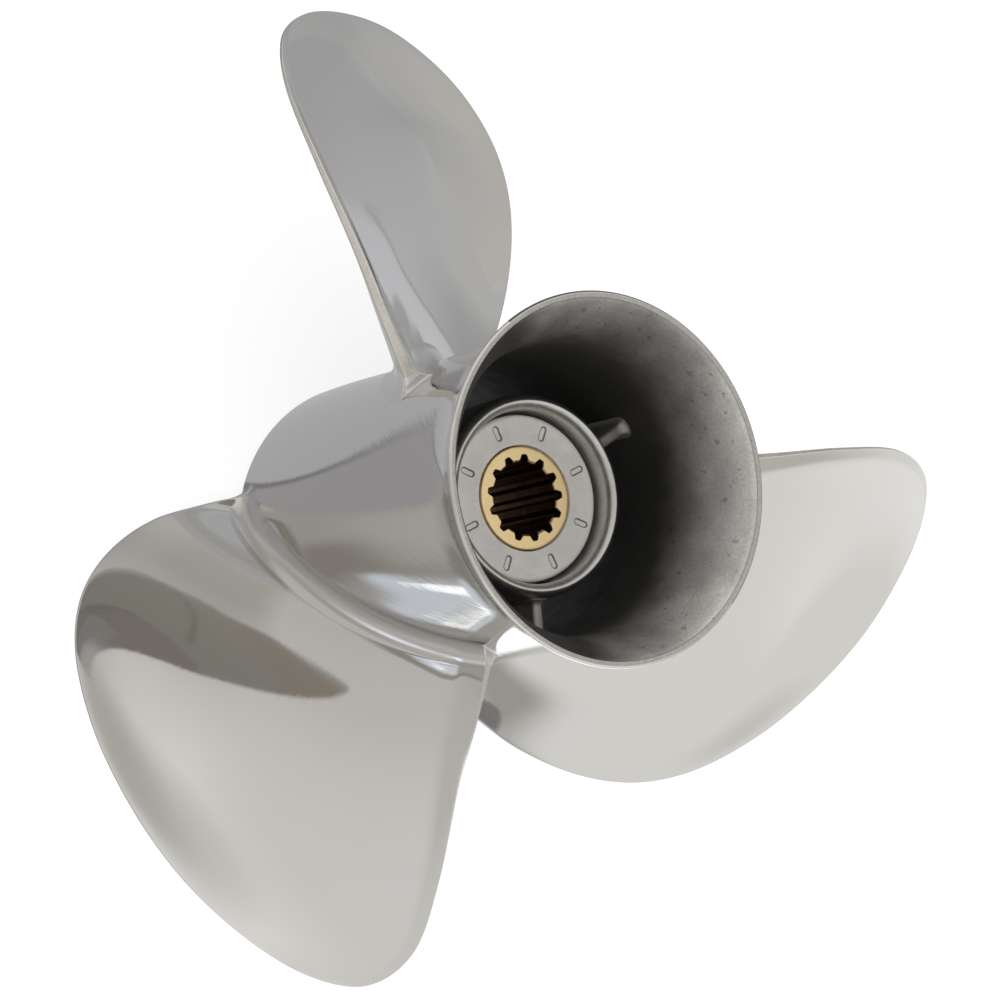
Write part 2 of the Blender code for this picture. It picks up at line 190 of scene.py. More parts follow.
def noise(tree, vector, scale, detail=3.0, roughness=0.5):
    made = node(tree, "ShaderNodeTexNoise", Vector=vector, Scale=scale, Detail=detail, Roughness=roughness)
    return made.outputs["Fac"]


def mapped(tree, vector, scale=(1.0, 1.0, 1.0), turn=0.0):
    made = node(tree, "ShaderNodeMapping", Vector=vector, Scale=scale, Rotation=(0, 0, math.radians(turn)))
    return made.outputs["Vector"]


def remap(tree, value, low, high, toLow=0.0, toHigh=1.0, kind="LINEAR"):
    ends = {"From Min": low, "From Max": high, "To Min": toLow, "To Max": toHigh}
    return node(tree, "ShaderNodeMapRange", interpolation_type=kind, Value=value, **ends).outputs["Result"]


def softStep(tree, value, low, high, toLow=0.0, toHigh=1.0):
    return remap(tree, value, low, high, toLow, toHigh, "SMOOTHSTEP")


def mathNode(tree, operation, *values):
    made = node(tree, "ShaderNodeMath", operation=operation)
    for socket, value in zip(made.inputs, values):
        if isinstance(value, (int, float)):
            socket.default_value = value
        else:
            tree.links.new(value, socket)
    return made.outputs[0]


def blendColour(tree, share, first, second):
    made = node(tree, "ShaderNodeMix", data_type="RGBA", Factor=share)
    colourInputs = [s for s in made.inputs if s.type == "RGBA"]
    for socket, colour in zip(colourInputs, (first, second)):
        if isinstance(colour, tuple):
            socket.default_value = (*colour, 1.0)
        else:
            tree.links.new(colour, socket)
    return [s for s in made.outputs if s.type == "RGBA"][0]


def bump(tree, height, strength, distance, **under):
    # under may hold another bump's output as Normal, so that one relief lies on the other
    made = node(tree, "ShaderNodeBump", Height=height, Strength=strength, Distance=distance, **under)
    return made.outputs["Normal"]


def twoTone(tree, pattern, settings):
    return blendColour(tree, remap(tree, pattern, *noiseSpan), settings["dark"], settings["light"])


def unevenRough(tree, pattern, settings):
    return remap(tree, pattern, *noiseSpan, settings["smoothest"], settings["roughest"])


def dress(tree, shader, colour, rough, normal, metallic):
    for key, pattern in (("Base Color", colour), ("Roughness", rough), ("Normal", normal)):
        tree.links.new(pattern, shader.inputs[key])
    shader.inputs["Metallic"].default_value = metallic


def roundTheShaft(tree):
    # object coordinates unrolled about Z: (angle * unrollRadius, height, 0), then height and angle by themselves
    x, y, z = splitPlace(tree)
    angle = mathNode(tree, "ARCTAN2", y, x)
    arc = mathNode(tree, "MULTIPLY", angle, unrollRadius)
    return node(tree, "ShaderNodeCombineXYZ", X=arc, Y=z).outputs["Vector"], z, angle


def fromTheBarrel(tree):
    # distance from the barrel's taper: length of (x, y) - smoothstep radius at z
    x, y, z = splitPlace(tree)
    flat = node(tree, "ShaderNodeCombineXYZ", X=x, Y=y).outputs["Vector"]
    radius = node(tree, "ShaderNodeVectorMath", operation="LENGTH", Vector=flat).outputs["Value"]
    return mathNode(tree, "SUBTRACT", radius, softStep(tree, z, 0.0, neckHeight, hub["front"], hub["neck"]))


def polishedSteel(name, settings):
    # a mirror with fine streaks in roughness and relief, over a low wave that bends what it reflects
    material, tree, shader = newFinish(name)
    place = objectPlace(tree)
    cloud = noise(tree, place, settings["cloudScale"], 2.0)
    colour = blendColour(tree, remap(tree, cloud, *settings["cloudSpan"]), settings["colour"], settings["colourWarm"])
    along = place
    if "streakTurn" in settings:
        along = mapped(tree, roundTheShaft(tree)[0], turn=settings["streakTurn"])
    streaks = noise(tree, mapped(tree, along, settings["streakStretch"]), settings["streakScale"], 4.0, 0.6)
    rough = unevenRough(tree, streaks, settings)
    if "rootRough" in settings:  # hand-polished fillets are duller
        duller = softStep(tree, fromTheBarrel(tree), *settings["rootReach"], settings["rootRough"], 0.0)
        rough = mathNode(tree, "ADD", rough, duller)
    wave = noise(tree, place, settings["waveScale"], 1.0)
    waved = bump(tree, wave, settings["waveStrength"], settings["waveHeight"])
    scratched = bump(tree, streaks, settings["scratchStrength"], settings["scratchHeight"], Normal=waved)
    dress(tree, shader, colour, rough, scratched, 1.0)
    return material


polish = {
    "colour": (0.640, 0.636, 0.628), "colourWarm": (0.655, 0.646, 0.630), "cloudScale": 18.0,
    "cloudSpan": (0.35, 0.65), "waveScale": 28.0, "waveStrength": 0.35, "waveHeight": 0.0004,
}
bladePolish = dict(
    polish, streakStretch=(1.0, 1.0, 6.0), streakScale=260.0, smoothest=0.03, roughest=0.065,
    scratchStrength=0.05, scratchHeight=0.00003, rootReach=(0.0015, 0.0065), rootRough=0.20,
)
# on the barrel the polishing marks run along the blade roots, 52 degrees up round the shaft
hubPolish = dict(
    polish, streakTurn=-51.7, streakStretch=(1.0, 11.0, 1.0), streakScale=70.0, smoothest=0.035, roughest=0.09,
    scratchStrength=0.55, scratchHeight=0.00009,
)


def brushedMetal(name, settings):
    # one noise, stretched along the brushing, tints, roughens and raises the metal
    material, tree, shader = newFinish(name)
    place = mapped(tree, objectPlace(tree), settings["stretch"])
    lines = noise(tree, place, settings["scale"], settings["detail"], settings["grit"])
    relief = bump(tree, lines, settings["strength"], settings["depth"])
    dress(tree, shader, twoTone(tree, lines, settings), unevenRough(tree, lines, settings), relief, 1.0)
    return material


edgeBrush = {
    "dark": (0.53, 0.50, 0.455), "light": (0.74, 0.71, 0.66), "stretch": (1.0, 1.0, 1.0), "scale": 900.0,
    "detail": 5.0, "grit": 0.7, "smoothest": 0.26, "roughest": 0.42, "strength": 0.4, "depth": 0.00006,
}
rimBrush = dict(edgeBrush, dark=(0.36, 0.35, 0.335), light=(0.54, 0.53, 0.51), scale=1400.0)
# painted shade for the rim's rounded edge: the rim's brushing in dark tones
rimShadeBrush = dict(rimBrush, dark=(0.10, 0.098, 0.094), light=(0.20, 0.196, 0.19))
tubeBrush = {
    "dark": (0.52, 0.51, 0.495), "light": (0.68, 0.67, 0.65), "stretch": (1.0, 1.0, 3.0), "scale": 420.0,
    "detail": 5.0, "grit": 0.7, "smoothest": 0.30, "roughest": 0.42, "strength": 0.25, "depth": 0.00005,
}
ribBrush = dict(tubeBrush, dark=(0.40, 0.385, 0.36), light=(0.54, 0.52, 0.485), smoothest=0.55, roughest=0.70)
brassFace = {
    "dark": (0.78, 0.60, 0.30), "light": (0.90, 0.73, 0.42), "stretch": (1.0, 1.0, 1.0), "scale": 500.0,
    "detail": 4.0, "grit": 0.6, "smoothest": 0.28, "roughest": 0.42, "strength": 0.2, "depth": 0.00004,
}
# painted shade down the bore: the brass in dark brown tones
brassBoreShade = dict(
    brassFace, dark=(0.10, 0.055, 0.02), light=(0.22, 0.13, 0.05), stretch=(1.0, 1.0, 6.0), scale=120.0,
)


def towards(tree, angle, azimuth):
    # cosine of the angle round the shaft away from an azimuth in degrees
    return mathNode(tree, "COSINE", mathNode(tree, "SUBTRACT", angle, math.radians(azimuth)))


# cast steel, mottled, grained and pitted, with painted shade that darkens it deeper down and on the sides away from
# the light
def castSteel(name, settings):
    material, tree, shader = newFinish(name)
    unrolled, height, angle = roundTheShaft(tree)
    mottled = noise(tree, unrolled, settings["mottleScale"], 5.0, 0.6)
    grain = noise(tree, unrolled, settings["grainScale"], 3.0, 0.6)
    pits = noise(tree, unrolled, settings["pitScale"], 2.0, 0.5)
    cloud = noise(tree, unrolled, settings["cloudScale"], 4.0, 0.6)
    # painted shade: none near the rim and dark deeper down; it reaches higher in clouds, on the sides away from the
    # lit azimuth, and over the shadiest azimuth
    awayFromLit = softStep(tree, towards(tree, angle, settings["litAzimuth"]), *settings["awayFromLitSpan"], 1.0, 0.0)
    towardShadiest = softStep(tree, towards(tree, angle, settings["shadiestAzimuth"]), *settings["shadiestSpan"])
    cloudy = remap(tree, cloud, *noiseSpan, -settings["cloudRise"], settings["cloudRise"])
    height = mathNode(tree, "ADD", height, cloudy)
    for side, rise in ((awayFromLit, "awayFromLitRise"), (towardShadiest, "shadiestRise")):
        height = mathNode(tree, "SUBTRACT", height, mathNode(tree, "MULTIPLY", side, settings[rise]))
    unshaded = remap(tree, height, settings["shadeBelow"], settings["litAbove"])
    unshaded = mathNode(tree, "POWER", unshaded, settings["shadeFade"])

    colour = twoTone(tree, mottled, settings)
    grained = remap(tree, grain, *settings["grainSpan"], 0.0, settings["grainShare"])
    colour = blendColour(tree, grained, colour, settings["grainColour"])
    # painted shade on the sides away from the lit azimuth
    colour = blendColour(tree, mathNode(tree, "MULTIPLY", awayFromLit, settings["awayFromLitShade"]), colour, settings["shadeColour"])
    pitted = remap(tree, pits, *settings["pitSpan"], 0.0, settings["pitShare"])
    colour = blendColour(tree, pitted, colour, settings["pitColour"])
    # painted shade: the shade colour deeper down
    colour = blendColour(tree, unshaded, settings["shadeColour"], colour)
    relief = bump(tree, grain, settings["strength"], settings["relief"])
    dress(tree, shader, colour, unevenRough(tree, mottled, settings), relief, settings["metallic"])
    return material


# the flare's cast inside; its shade keys set the painted shade
flareCast = {
    "dark": (0.80, 0.79, 0.765), "light": (0.97, 0.96, 0.935), "shadeColour": (0.05, 0.049, 0.047), "mottleScale": 130.0,
    "grainColour": (0.50, 0.49, 0.47), "grainScale": 1300.0, "grainSpan": (0.35, 0.65), "grainShare": 0.42,
    "pitColour": (0.08, 0.075, 0.07), "pitScale": 420.0, "pitSpan": (0.64, 0.69), "pitShare": 0.4,
    "litAzimuth": -120.0, "awayFromLitSpan": (0.3, 1.0), "awayFromLitRise": 0.0125, "awayFromLitShade": 0.05,
    "shadiestAzimuth": 90.0, "shadiestSpan": (0.1, 0.6), "shadiestRise": 0.030, "shadeFade": 1.75, "cloudScale": 55.0,
    "cloudRise": 0.004, "shadeBelow": 0.096, "litAbove": 0.134, "metallic": 0.45, "smoothest": 0.50,
    "roughest": 0.66, "strength": 0.35, "relief": 0.0001,
}


def mouldedResin(name, settings):
    # clouded and speckled all through
    material, tree, shader = newFinish(name)
    place = objectPlace(tree)
    cloud = noise(tree, place, settings["cloudScale"], 4.0, 0.6)
    speckle = noise(tree, place, settings["speckScale"], 2.0)
    specked = remap(tree, speckle, *settings["speckSpan"], 0.0, settings["speckShare"])
    colour = blendColour(tree, specked, twoTone(tree, cloud, settings), settings["speck"])
    relief = bump(tree, speckle, settings["strength"], settings["relief"])
    dress(tree, shader, colour, unevenRough(tree, cloud, settings), relief, 0.0)
    return material


bushingResin = {
    "dark": (0.74, 0.725, 0.705), "light": (0.86, 0.845, 0.825), "cloudScale": 160.0, "speck": (0.52, 0.51, 0.50),
    "speckScale": 1500.0, "speckSpan": (0.62, 0.72), "speckShare": 0.35, "smoothest": 0.38, "roughest": 0.52,
    "strength": 0.2, "relief": 0.00005,
}
# painted shade for the marks' walls: the resin in dark tones
markWallShade = dict(bushingResin, dark=(0.16, 0.155, 0.15), light=(0.24, 0.235, 0.23), speck=(0.12, 0.115, 0.11))

finishes = {
    "blade": polishedSteel("bladeSteel", bladePolish),
    "hub": polishedSteel("hubSteel", hubPolish),
    "edge": brushedMetal("cutEdgeSteel", edgeBrush),
    "rim": brushedMetal("rimSteel", rimBrush),
    "rimShade": brushedMetal("rimShadeSteel", rimShadeBrush),
    "tube": brushedMetal("tubeSteel", tubeBrush),
    "inside": castSteel("castInside", flareCast),
    "rib": brushedMetal("ribSteel", ribBrush),
    "resin": mouldedResin("bushingResin", bushingResin),
    "markShade": mouldedResin("bushingMarkShade", markWallShade),
    "brass": brushedMetal("sleeveBrass", brassFace),
    "bore": brushedMetal("sleeveBoreShade", brassBoreShade),
}
print("finishes made")


def makeHub():
    # profile from the rim's inner lip over its rounded edge, down the outside, round the front and up the inside
    top, front, steps = hub["length"], hub["frontRound"], hub["roundSteps"]
    cut, bore, roll = hub["rimChamfer"], hub["rim"] - hub["rimBand"], hub["rimRound"]
    flare = np.linspace(top - hub["rimFoot"], neckHeight, hub["flareRows"])
    taper = np.linspace(neckHeight, front, hub["taperRows"])[1:]
    heights = np.concatenate([flare, taper])
    lip = np.array([[bore, top - cut], [bore + cut * cornerBow, top - cut * cornerBow], [bore + cut, top]])
    band = np.concatenate([lip, arcPoints(hub["rim"] - roll, top - roll, roll, 90, hub["rimUnder"], steps)])
    outside = np.stack([hubRadius(heights), heights], axis=1)
    nose = arcPoints(hubRadius(front) - front, front, front, hub["frontStart"], -90, steps)
    inner = np.concatenate([[top - cut * 2], heights, [0.0]])[::-1]
    inside = np.stack([hubInside(inner), inner], axis=1)
    profile = np.concatenate([band, outside, nose, inside])
    faceMaterial = np.zeros((len(profile), hub["around"]), int)
    faceMaterial[:len(lip)] = 1
    faceMaterial[len(profile) - len(inside):] = 2
    azimuth = (np.arange(hub["around"]) + 0.5) * 360 / hub["around"]
    # painted shade: the rim's rounded edge takes a dark finish over these azimuths
    faceMaterial[len(lip) + 1:len(band), (azimuth > hub["rimShadeFrom"]) | (azimuth < hub["rimShadeTo"])] = 3
    surfaces = [finishes[name] for name in ("hub", "rim", "inside", "rimShade")]
    piece = turnProfile("hubBarrel", profile, hub["around"], surfaces, faceMaterial.reshape(-1))
    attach(piece, "root")
    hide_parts("hub_barrel")


makeHub()
print("hub barrel made")


blade = {
    # outline: azimuth of the first blade, and the edge's angle in degrees by place, which is -1 where the trailing
    # edge meets the hub, 0 at the tip and 1 where the leading edge meets the hub
    "count": 3, "tip": 0.1446, "root": 0.046, "first": 9.1, "helix": 48.0,
    "places": [-1.0, -0.9, -0.8, -0.6, -0.4, -0.2, -0.1, 0.0, 0.1, 0.2, 0.3, 0.4, 0.5, 0.6, 0.8, 0.9, 1.0],
    "angles": [
        21.7, 19.3, 17.5, 16.5, 15.2, 11.8, 8.9, 4.8, -0.4, -7.8, -15.7, -25.4, -34.9, -42.0, -52.6, -57.5, -64.5,
    ],
    # pressure face
    "height": 0.0645, "rootPitch": 0.358, "tipPitch": 0.473, "rake": 0.0350, "sag": -0.0092, "cup": -0.003,
    "lowest": 0.0042, "lowestBlend": 0.005,
    "hollow": [-0.0032, -0.00164, -0.00262, 0.0038], "hollowStart": 0.15, "hollowFade": 0.72, "hollowEnd": 1.02,
    "cupSlope": 0.05, "cupTip": 0.0045, "cupRoot": 0.0105, "cupBend": 0.0010,
    "lipSlope": 0.20, "lipTip": 0.0036, "lipRoot": 0.0068, "lipBend": 0.0004, "cupFade": 8,
    # thickness and rounded edges
    "rootEdge": 0.0037, "tipEdge": 0.0007, "edgeFade": 0.75, "rootFull": 0.0078, "tipFull": 0.0022,
    "leading": 0.0008, "crownFade": 0.016, "noseLength": 0.0012, "noseMost": 0.45,
    "cornerTip": 0.00021, "cornerRoot": 0.00033, "cornerMost": 0.25,
    # fillet into the hub
    "filletHeight": 0.0062, "filletTrailing": 0.0056, "filletLeading": 0.0066, "filletNose": 0.0036,
    "filletEdge": 0.0008, "filletBackCorner": 0.7, "clear": 0.0006, "leastRoom": 0.0002,
    "skim": 0.000004, "sunk": 0.0008,
    # points
    "rows": 150, "firstRow": 0.004, "filletRows": 22, "columns": 78, "noseColumns": 7, "cornerColumns": 4,
    "flatColumns": 3, "edgePast": 4,
    # solving: passes, radius to start from, step for slopes and least chord and turn to divide by
    "passes": 6, "startRadius": 0.056, "slopeStep": 0.0001, "leastChord": 0.00001, "leastTurn": 0.0001,
}


def outShare(radius):
    return (radius - blade["root"]) / (blade["tip"] - blade["root"])


def chordLength(turn, radius):
    return turn * radius / math.cos(math.radians(blade["helix"]))


def faceHeight(radius, turn, trailing, leading):
    # pressure face: z = height + rake * out + sag * out^2 + pitch / 2 pi * turn + cup * turn^2, levelled at its
    # lowest, plus a hollow, (4x(1 - x))^1.5 across the chord, even and lopsided, and two bends up along the
    # trailing edge: a wide cup and a narrow lip
    out = outShare(radius)
    width = np.maximum(trailing - leading, blade["leastTurn"])
    x = np.clip((trailing - turn) / width, 0.0, 1.0)
    arch = (4 * x * (1 - x)) ** 1.5
    h, o = blade["hollow"], np.clip(out, 0.0, 1.0)
    ending = smooth((o - blade["hollowFade"]) / (blade["hollowEnd"] - blade["hollowFade"]))
    grown = 1 - np.exp(-(o / blade["hollowStart"]) ** 2) - ending
    hollow = grown * arch * (h[0] + h[1] * o + (1 - 2 * x) * (h[2] + h[3] * o))
    inside = chordLength(x * width, radius)
    bend = 0.0
    for kind in ("cup", "lip"):
        left = blade[kind + "Root"] + (blade[kind + "Tip"] - blade[kind + "Root"]) * o - inside
        bend = bend + blade[kind + "Slope"] * (left + np.hypot(left, blade[kind + "Bend"])) / 2
    pitch = blade["rootPitch"] + (blade["tipPitch"] - blade["rootPitch"]) * out
    z = blade["height"] + blade["rake"] * out + blade["sag"] * out ** 2
    z = z + pitch / (2 * np.pi) * turn + blade["cup"] * turn ** 2
    above = z + hollow - blade["lowest"]
    return blade["lowest"] + (above + np.hypot(above, blade["lowestBlend"])) / 2 + bend * (1 - o ** blade["cupFade"])


def edgeTurn(radius, side):
    # angle of the blade's edge at a radius; side is -1 for the trailing edge and 1 for the leading edge, and the
    # place along the edge is the square root of the distance from the tip
    place = np.sqrt(np.clip(1 - outShare(radius), 0.0, None))
    return np.radians(hermite(blade["places"], blade["angles"], side * np.minimum(place, 1.0)))


def sectionThickness(out, across, chord):
    # straight taper from edge to nose plus a crown, 6.75 x (1 - x)^2, that is fullest a third of the way across
    # and fades as the chord shrinks
    out = np.clip(out, 0, 1)
    edge = blade["rootEdge"] + (blade["tipEdge"] - blade["rootEdge"]) * out ** blade["edgeFade"]
    full = blade["rootFull"] + (blade["tipFull"] - blade["rootFull"]) * out
    straight = edge + (blade["leading"] - edge) * across
    crown = (full - (edge * 2 + blade["leading"]) / 3) * chord ** 2 / (chord ** 2 + blade["crownFade"] ** 2)
    return straight + crown * 6.75 * across * (1 - across) ** 2


def sectionRing():
    # a section's ring starts in the middle of the cut edge, goes over its corner, the pressure face and the nose,
    # and comes back the same way on the suction side; every entry is one weight for each of the ring's points
    flat = np.linspace(1, 0, blade["flatColumns"] + 1)[:-1]  # 1 in the middle of the cut edge, near 0 at its corner
    corner = np.radians(np.linspace(90, 0, blade["cornerColumns"] + 1)[:-1])
    face = 0.5 - 0.5 * np.cos(np.pi * np.linspace(0, 1, blade["columns"]))
    nose = np.radians(np.linspace(0, 90, blade["noseColumns"] + 1)[1:])

    def joined(*values):
        parts = zip(values, (flat, corner, face, nose))
        half = np.concatenate([value * np.ones(len(part)) for value, part in parts])
        return np.concatenate([half, half[-2:0:-1]])

    side = np.ones(len(joined(0, 0, 0, 0)))
    side[len(side) // 2 + 1:] = -1.0
    backCorner = np.where(side > 0, 1.0, joined(0, blade["filletBackCorner"], 1, 1))
    return {
        "side": side,
        "across": joined(0, 0, face, 1), "acrossStart": joined(0, 0, 1 - face, 0),
        "acrossNose": joined(0, 0, face, 1 - np.sin(nose)),
        "cornerBack": joined(0, 1 - np.sin(corner), 0, 0),
        "sinkHalf": joined(flat, 0, 0, 0), "sinkCorner": joined(1 - flat, 1 - np.cos(corner), 0, 0),
        "sinkNose": joined(0, 0, 0, 1 - np.cos(nose)),
        "pushOut": side * joined(0, 1, 1, np.cos(nose)) * backCorner,
        "pushAlong": joined(blade["filletEdge"], blade["filletEdge"], 0, -blade["filletNose"] * np.sin(nose)),
    }


def bladeSurface():
    # rows run from the tip to the hub and round the root fillet; every point's radius is solved so that it sits at
    # its row's height over the barrel: tip - (tip - barrel - fillet height) * share, and in the fillet
    # barrel + fillet height * (1 - sin swing), pushed outwards by reach * (1 - cos swing)
    ring, rows, foot = sectionRing(), blade["rows"], blade["filletRows"]
    side = ring["side"]
    share = np.concatenate([np.linspace(blade["firstRow"], 1.0, rows) ** 2, np.ones(foot + 1)])[:, None]
    swing = np.concatenate([np.zeros(rows), np.linspace(0, 1, foot + 1)[1:] * np.pi / 2, [np.pi / 2]])[:, None]
    over = blade["filletHeight"] * (1 - np.sin(swing)) + blade["skim"]
    over[-1] = -blade["sunk"]
    spread = 1 - np.cos(swing)
    radius = np.full((len(share), len(side)), blade["startRadius"])
    step = blade["slopeStep"]
    for _ in range(blade["passes"]):
        trailing, leading = edgeTurn(radius, -1), edgeTurn(radius, 1)
        out = outShare(radius)
        chord = chordLength(trailing - leading, radius)
        safe = np.maximum(chord, blade["leastChord"])
        corner = blade["cornerTip"] + (blade["cornerRoot"] - blade["cornerTip"]) * (1 - np.clip(out, 0, 1))
        corner = np.minimum(corner, blade["cornerMost"] * safe)
        nose = np.minimum(blade["noseLength"] / safe, blade["noseMost"])
        across = ring["across"] + corner / safe * ring["acrossStart"] - nose * ring["acrossNose"]
        # sink is the depth below the pressure face, the same distance in from either face
        thick = sectionThickness(out, across, chord)
        inset = thick / 2 * ring["sinkHalf"] + corner * ring["sinkCorner"] + blade["leading"] / 2 * ring["sinkNose"]
        sink = thick / 2 - side * (thick / 2 - inset)
        turn = trailing + (leading - trailing) * across
        height = faceHeight(radius, turn, trailing, leading)
        before, after = (faceHeight(radius, turn + k * step, trailing, leading) for k in (-1, 1))
        slope = (after - before) / (2 * step)
        length = np.hypot(radius, slope)
        chordA, chordZ = radius / length, slope / length      # towards the trailing edge
        normalA, normalZ = -slope / length, radius / length   # out of the pressure face
        reach = blade["filletTrailing"] + (blade["filletLeading"] - blade["filletTrailing"]) * across
        # on the suction side the fillet keeps above the floor: reach * room / (reach^4 + room^4)^(1/4)
        room = np.maximum(height - normalZ * sink - blade["clear"], blade["leastRoom"]) / normalZ
        reach = np.where(side < 0, reach * room / (reach ** 4 + room ** 4) ** 0.25, reach)
        forward = ring["pushAlong"] * spread - corner * ring["cornerBack"]
        outwards = reach * ring["pushOut"] * spread - sink
        angle = turn + (chordA * forward + normalA * outwards) / radius
        z = height + chordZ * forward + normalZ * outwards
        barrel = hubRadius(z)
        free = blade["tip"] - (blade["tip"] - barrel - blade["filletHeight"]) * share
        radius = np.where(share < 1.0, free, barrel + over)
    return np.stack([radius * np.cos(angle), radius * np.sin(angle), z], axis=-1)


def makeBlade(number, points):
    turn = math.radians(blade["first"] + number * 360 / blade["count"])
    c, s = math.cos(turn), math.sin(turn)
    points = points @ np.array([[c, s, 0], [-s, c, 0], [0, 0, 1]])
    rows, columns = points.shape[:2]
    faces = shellFaces(rows, columns)
    row, column = np.indices((rows - 1, columns))
    onEdge = (column < blade["flatColumns"]) | (column >= columns - blade["flatColumns"])
    cutEdge = (onEdge & (row < blade["rows"] + blade["edgePast"])).reshape(-1)
    faceMaterial = np.zeros(len(faces), int)
    faceMaterial[:len(cutEdge)] = cutEdge
    surfaces = [finishes["blade"], finishes["edge"]]
    piece = makePiece(f"propBlade{number + 1}", points, faces, surfaces, faceMaterial)
    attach(piece, "root")
    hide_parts(f"blade_{number + 1}")


surface = bladeSurface()
for number in range(blade["count"]):
    makeBlade(number, surface)
print("blades made")


tube = {
    "radius": 0.0290, "bore": 0.0247, "top": 0.0970, "front": 0.004, "shoulder": 0.0190, "shoulderTop": 0.012,
    "chamfer": 0.001, "innerChamfer": 0.0004, "outsideRows": 12, "around": 216,
    # the lip from bore to outside: radius and depth below the top, in millimetres
    "lip": [
        [24.70, 4.0], [24.70, 2.6], [24.86, 1.75], [25.25, 1.05], [25.75, 0.52], [26.20, 0.20],
        [26.50, 0.05], [26.72, 0.0], [26.95, 0.06], [27.25, 0.24], [27.60, 0.52], [27.98, 0.95],
        [28.32, 1.50], [28.60, 2.20], [28.82, 3.05], [28.95, 4.00], [29.00, 5.10],
    ],
}


def makeTube():
    # turned profile: rounded lip, outside, chamfered front, then the shoulder that carries the thrust washer
    lip = np.array(tube["lip"]) / 1000
    lip[:, 1] = tube["top"] - lip[:, 1]
    ease, front, rows = tube["chamfer"], tube["front"], tube["outsideRows"]
    radius, shoulder, shelf, nick = tube["radius"], tube["shoulder"], tube["shoulderTop"], tube["innerChamfer"]
    outside = np.stack([np.full(rows, radius), np.linspace(lip[-1, 1], front + ease, rows + 1)[1:]], axis=1)
    bow = cornerBow * ease
    foot = np.array([
        [radius - bow, front + bow], [radius - ease, front], [shoulder + ease, front],
        [shoulder + bow, front + bow], [shoulder, front + ease], [shoulder, shelf - nick],
        [shoulder + nick, shelf], [tube["bore"], shelf],
    ])
    piece = turnProfile("innerTube", np.concatenate([lip, outside, foot]), tube["around"], [finishes["tube"]])
    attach(piece, "root")
    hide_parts("inner_hub_tube")


makeTube()


rib = {
    "count": 3, "first": 49.5, "top": 0.0925, "front": 0.012, "thick": 0.0036, "start": 0.0287, "sunk": 0.0004,
    "wallFillet": 0.0030, "tubeFillet": 0.0018, "tubeOverlap": 0.0003, "frontRound": 0.0008,
    "aftSide": 0.6, "aftRise": 0.75, "frontSide": 0.5,  # powers that make the edges squarer than half circles
    "swellShare": 0.8, "rows": 46, "sideSteps": 26, "roundSteps": 9,
}


def makeRib(number):
    # a web carried from tube to barrel: half thickness and aft edge grow near both ends by
    # fillet - sqrt(fillet^2 - (fillet - distance)^2), and the aft edge is about a half circle
    half = rib["thick"] / 2
    aft = np.linspace(0, np.pi / 2, rib["roundSteps"] + 1)
    front = aft[1:-1]
    sideZ = np.linspace(1, 0, rib["sideSteps"] + 1)[1:-1]
    bodyTop, bodyFront = rib["top"] - half, rib["front"] + rib["frontRound"]
    # one side of the section from aft apex to front apex: share of the half thickness, height
    across = np.concatenate([
        np.sin(aft) ** rib["aftSide"], np.ones(len(sideZ)), np.cos(front) ** rib["frontSide"], [0.0],
    ])
    height = np.concatenate([
        bodyTop + half * np.cos(aft) ** rib["aftRise"], bodyFront + (bodyTop - bodyFront) * sideZ,
        bodyFront - rib["frontRound"] * np.sin(front), [rib["front"]],
    ])
    across = np.concatenate([across, -across[-2:0:-1]])
    height = np.concatenate([height, height[-2:0:-1]])
    s = (0.5 - 0.5 * np.cos(np.pi * np.linspace(0, 1, rib["rows"])))[:, None]
    stop = hubInside(height)[None, :] + rib["sunk"]
    radius = rib["start"] + (stop - rib["start"]) * s

    def swell(distance, fillet):
        near = np.clip(fillet - distance, 0, fillet)
        return fillet - np.sqrt(fillet ** 2 - near ** 2)

    grow = swell(radius - rib["start"] - rib["tubeOverlap"], rib["tubeFillet"])
    grow = rib["swellShare"] * (grow + swell(stop - rib["sunk"] - radius, rib["wallFillet"]))
    side = across * (half + grow)
    z = height + grow * np.clip((height - bodyTop) / half, 0, 1)
    turn = math.radians(rib["first"] + number * 360 / rib["count"])
    c, s = math.cos(turn), math.sin(turn)
    points = np.stack([radius * c - side * s, radius * s + side * c, z], axis=-1)
    piece = makePiece(f"hubRib{number + 1}", points, shellFaces(*radius.shape), [finishes["rib"]])
    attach(piece, "root")
    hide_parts(f"rib_{number + 1}")


for number in range(rib["count"]):
    makeRib(number)
print("tube and ribs made")


bushing = {
    "top": 0.0905, "bottom": 0.0123, "middle": 0.05, "body": 0.0244, "edge": 0.0238, "round": 0.0012,
    "bore": 0.0151, "boreRound": 0.0006, "fit": 0.0150, "collar": 0.008, "collarEase": 0.0008, "boreEase": 0.0005,
    "dish": 0.00025, "faceRows": 62, "roundSteps": 8, "boreSteps": 6,
    # pill-shaped marks, and the painted shade along each one's wall
    "marks": 8, "firstMark": 12.0, "markCircle": 0.01965, "markLength": 0.0047, "markWidth": 0.0021,
    "markDepth": 0.00032, "markWall": 0.00046, "lineStart": 0.00002, "margin": 0.0002,
    "columnsOnMark": 26, "columnsBetween": 12,
}


